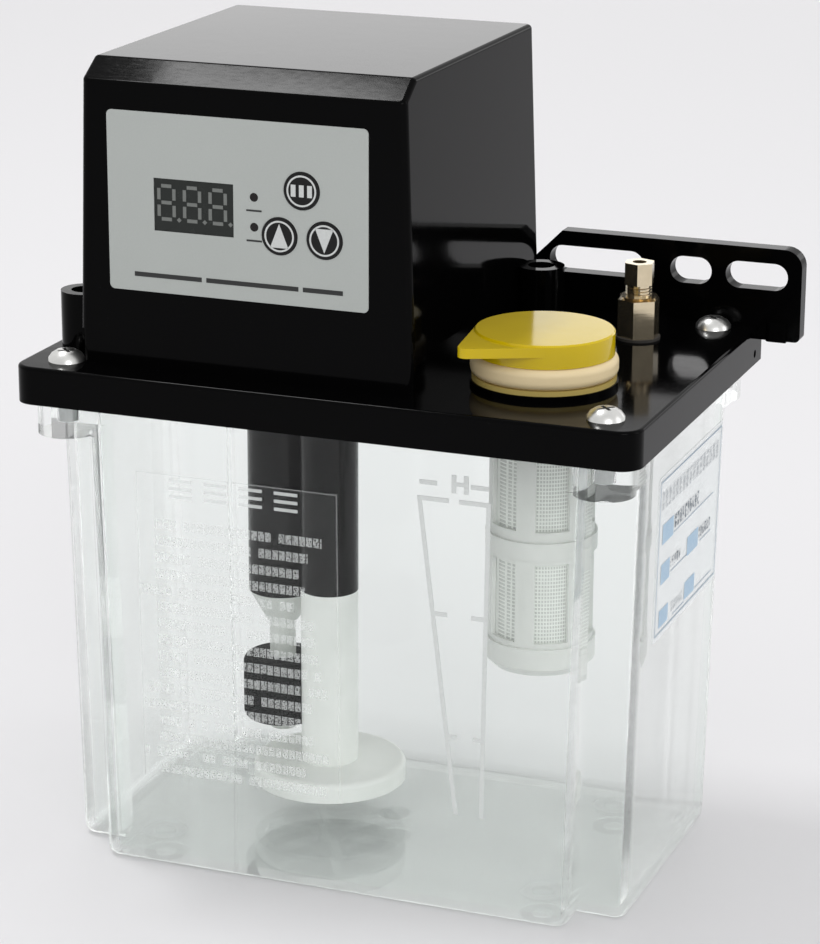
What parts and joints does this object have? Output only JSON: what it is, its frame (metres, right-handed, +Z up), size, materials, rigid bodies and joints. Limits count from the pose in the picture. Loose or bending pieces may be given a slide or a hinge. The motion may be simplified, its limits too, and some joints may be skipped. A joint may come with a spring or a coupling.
{
  "type": "electric lubrication pump",
  "caption": "Automatic lubricator: clear oil tank under a black cover plate with control housing, gear pump, float switch, filler, outlet fitting and slotted ears.",
  "frame": {"origin": "centre of the bounding box at the tank's underside", "axes": "+Z up, +Y to the rear where the slotted ears are, +X to the right as seen from the control panel"},
  "size_m": [0.2112, 0.1272, 0.2388],
  "materials": {
    "clear_plastic": "clear moulded",
    "black_moulding": "gloss",
    "black_plastic": "satin",
    "grey_plastic": "matt",
    "white_plastic": "translucent",
    "frosted_plastic": "translucent",
    "yellow_plastic": "satin",
    "panel_print": "satin",
    "display_window": "gloss",
    "display_print": "matt",
    "scale_print": "matt",
    "clear_film": "clear",
    "white_film": "gloss",
    "circuit_board": "satin",
    "seal_rubber": "matt",
    "screw_chrome": "polished",
    "steel": "ground",
    "laminations": "varnished",
    "motor_paint": "satin",
    "pale_brass": "polished",
    "brass": "turned"
  },
  "bodies": {
    "pump_unit": {"board_screws": "steel", "cable_gland": "black_plastic", "control_board": "circuit_board", "cover_plate": "black_moulding", "cover_screws": "screw_chrome", "display_module": "display_window", "display_segments": "display_print", "filler_basket": "frosted_plastic", "filler_mesh": "steel", "float_clip": "white_plastic", "gear_pin": "steel", "gland_cap": "black_plastic", "gland_locknut": "black_plastic", "housing": "black_moulding", "housing_screws": "steel", "key_switches": "black_plastic", "level_scale": "scale_print", "lid_tether": "yellow_plastic", "motor_bearings": "steel", "motor_cap": "motor_paint", "motor_case": "motor_paint", "motor_screws": "steel", "motor_stator": "laminations", "notice_film": "clear_film", "outlet_fitting": "pale_brass", "outlet_nut": "pale_brass", "outlet_washer": "seal_rubber", "panel_label": "panel_print", "pump_bushes": "brass", "pump_column": "black_plastic", "pump_end_plate": "black_plastic", "pump_screws": "steel", "rating_label": "white_film", "screw_inserts": "brass", "shaft_seal": "seal_rubber", "status_lamps": "display_window", "strainer_base": "white_plastic", "strainer_cover": "white_plastic", "strainer_mesh": "steel", "suction_tube": "white_plastic", "switch_body": "black_plastic", "switch_nut": "black_plastic", "switch_stem": "frosted_plastic", "tank": "clear_plastic", "tank_gasket": "seal_rubber", "terminal_block": "grey_plastic", "transformer": "laminations"},
    "drive_line": {"motor_rotor": "laminations", "motor_shaft": "steel", "shaft_coupling": "brass", "pump_shaft": "steel", "drive_gear": "steel"},
    "driven_gear_body": {"driven_gear": "steel"},
    "level_float_body": {"level_float": "grey_plastic"},
    "filler_lid_body": {"filler_lid": "yellow_plastic"},
    "key_set_body": {"key_set": "black_plastic"},
    "key_up_body": {"key_up": "black_plastic"},
    "key_down_body": {"key_down": "black_plastic"}
  },
  "joints": [
    {"name": "motor_spin", "type": "hinge", "parent": "pump_unit", "child": "drive_line", "pos_m": [-0.0222, 0.00505, 0.19], "axis": [0, 0, 1], "continuous": true},
    {"name": "driven_gear_spin", "type": "hinge", "parent": "pump_unit", "child": "driven_gear_body", "pos_m": [-0.0222, -0.00145, 0.081], "axis": [0, 0, 1], "continuous": true},
    {"name": "float_slide", "type": "slide", "parent": "pump_unit", "child": "level_float_body", "axis": [0, 0, 1], "range_m": [0, 0.0118]},
    {"name": "lid_hinge", "type": "hinge", "parent": "pump_unit", "child": "filler_lid_body", "pos_m": [0.06422, -0.00505, 0.1608], "axis": [-0.8746, 0.4848, 0], "range_deg": [0, 115]},
    {"name": "key_set_press", "type": "slide", "parent": "pump_unit", "child": "key_set_body", "axis": [0, 1, 0], "range_m": [0, 0.0004], "stiffness_N_per_m": 400},
    {"name": "key_up_press", "type": "slide", "parent": "pump_unit", "child": "key_up_body", "axis": [0, 1, 0], "range_m": [0, 0.0004], "stiffness_N_per_m": 400},
    {"name": "key_down_press", "type": "slide", "parent": "pump_unit", "child": "key_down_body", "axis": [0, 1, 0], "range_m": [0, 0.0004], "stiffness_N_per_m": 400}
  ],
  "couplings": [
    {"joint": "driven_gear_spin", "follows": "motor_spin", "ratio": -1}
  ]
}
